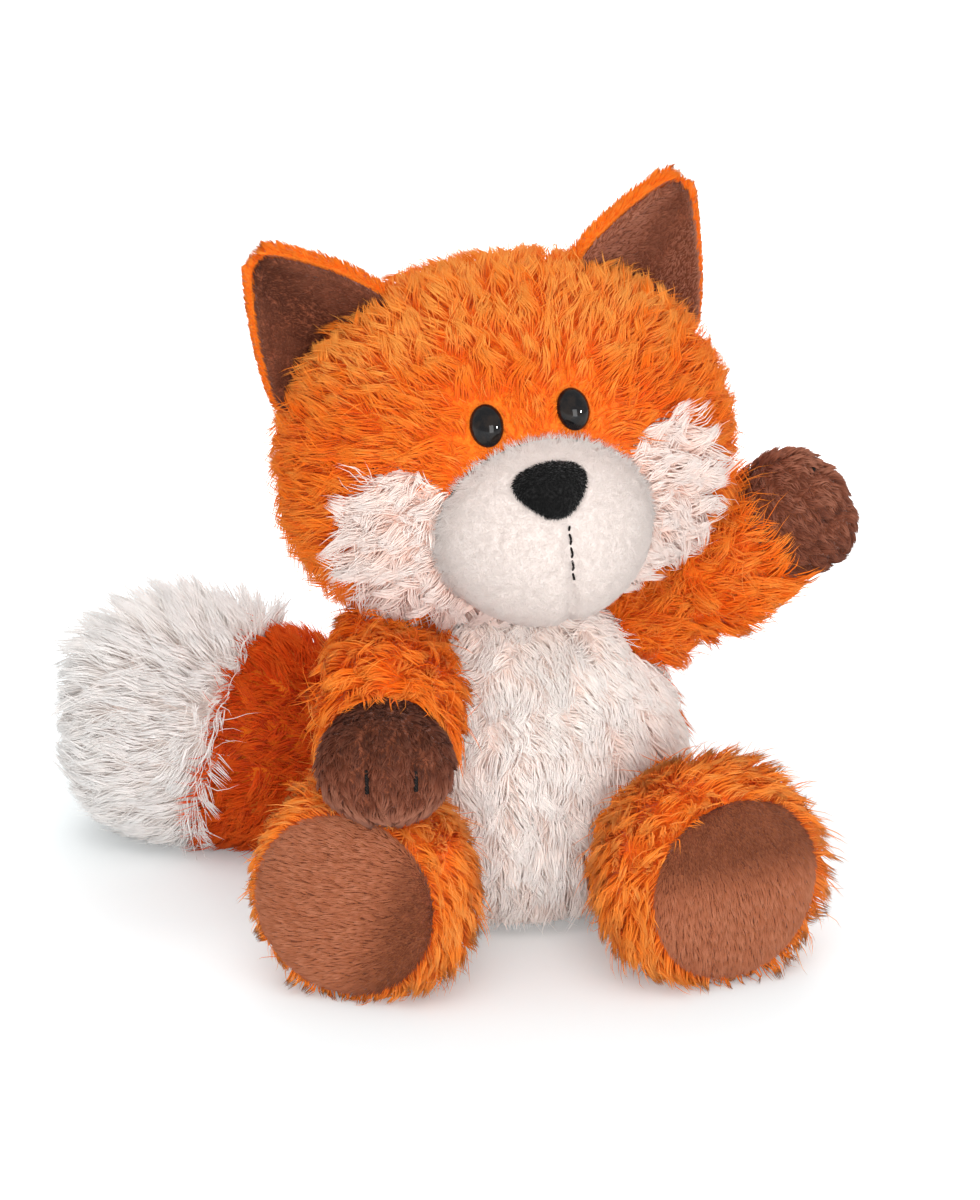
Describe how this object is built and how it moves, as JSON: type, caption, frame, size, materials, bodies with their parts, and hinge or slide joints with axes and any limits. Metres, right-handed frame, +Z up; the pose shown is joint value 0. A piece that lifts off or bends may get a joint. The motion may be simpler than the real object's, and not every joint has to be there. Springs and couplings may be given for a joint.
{
  "type": "plush fox",
  "caption": "Seated plush fox with a turning head, swinging arms and legs, a bushy white-tipped tail, glossy oval eyes and brown paws, soles and ear linings.",
  "frame": {"origin": "middle of the box's footprint, on the plane that the seat, legs and tail rest on", "axes": "+X towards the fox's own left, where the raised arm is; the fox faces -Y; +Z up"},
  "size_m": [0.1844, 0.1608, 0.1803],
  "materials": {
    "orange_plush": "shaggy long-pile plush",
    "white_plush": "long-pile plush, pinkish white",
    "muzzle_plush": "short-pile plush",
    "brown_plush": "short-pile plush with a sheen",
    "black_velvet": "matt velvet",
    "black_gloss": "polished",
    "dark_thread": "twisted sewing thread",
    "washer_plastic": "moulded, as made",
    "fibre_filling": "loose polyester fibre"
  },
  "bodies": {
    "body": {"belly_panel": "white_plush", "back_panel": "orange_plush", "body_filling": "fibre_filling"},
    "head": {"head_skin": "orange_plush", "muzzle_skin": "muzzle_plush", "cheek_patch_left": "white_plush", "cheek_patch_right": "white_plush", "nose": "black_velvet", "mouth_stitch": "dark_thread", "eye_left": "black_gloss", "eye_right": "black_gloss", "eye_washer_left": "washer_plastic", "eye_washer_right": "washer_plastic", "ear_back_left": "orange_plush", "ear_back_right": "orange_plush", "ear_inner_left": "brown_plush", "ear_inner_right": "brown_plush", "head_filling": "fibre_filling"},
    "arm_left": {"arm_skin_left": "orange_plush", "paw_skin_left": "brown_plush", "toe_stitch_inner_left": "dark_thread", "toe_stitch_outer_left": "dark_thread", "arm_filling_left": "fibre_filling"},
    "arm_right": {"arm_skin_right": "orange_plush", "paw_skin_right": "brown_plush", "toe_stitch_inner_right": "dark_thread", "toe_stitch_outer_right": "dark_thread", "arm_filling_right": "fibre_filling"},
    "leg_left": {"leg_skin_left": "orange_plush", "sole_pad_left": "brown_plush", "leg_filling_left": "fibre_filling"},
    "leg_right": {"leg_skin_right": "orange_plush", "sole_pad_right": "brown_plush", "leg_filling_right": "fibre_filling"},
    "tail": {"tail_skin": "orange_plush", "tail_tip": "white_plush", "tail_filling": "fibre_filling"}
  },
  "joints": [
    {"name": "neck_turn", "type": "hinge", "parent": "body", "child": "head", "pos_m": [0.0072, -0.0067, 0.082], "axis": [0, 0, 1], "range_deg": [-30, 30]},
    {"name": "shoulder_left", "type": "hinge", "parent": "body", "child": "arm_left", "pos_m": [0.04136, -0.00639, 0.0725], "axis": [0.5489, 0.3125, -0.7753], "range_deg": [0, 60]},
    {"name": "shoulder_right", "type": "hinge", "parent": "body", "child": "arm_right", "pos_m": [-0.0198, -0.02417, 0.07], "axis": [-0.5489, 0.3125, -0.7753], "range_deg": [0, 65]},
    {"name": "hip_left", "type": "hinge", "parent": "body", "child": "leg_left", "pos_m": [0.038, -0.0232, 0.02348], "axis": [0, 0, 1], "range_deg": [-12, 25]},
    {"name": "hip_right", "type": "hinge", "parent": "body", "child": "leg_right", "pos_m": [-0.0156, -0.0232, 0.02348], "axis": [0, 0, -1], "range_deg": [-12, 25]},
    {"name": "tail_swing", "type": "hinge", "parent": "body", "child": "tail", "pos_m": [-0.0073, 0.0268, 0.0268], "axis": [0, 0, -1], "range_deg": [-6, 45]}
  ]
}
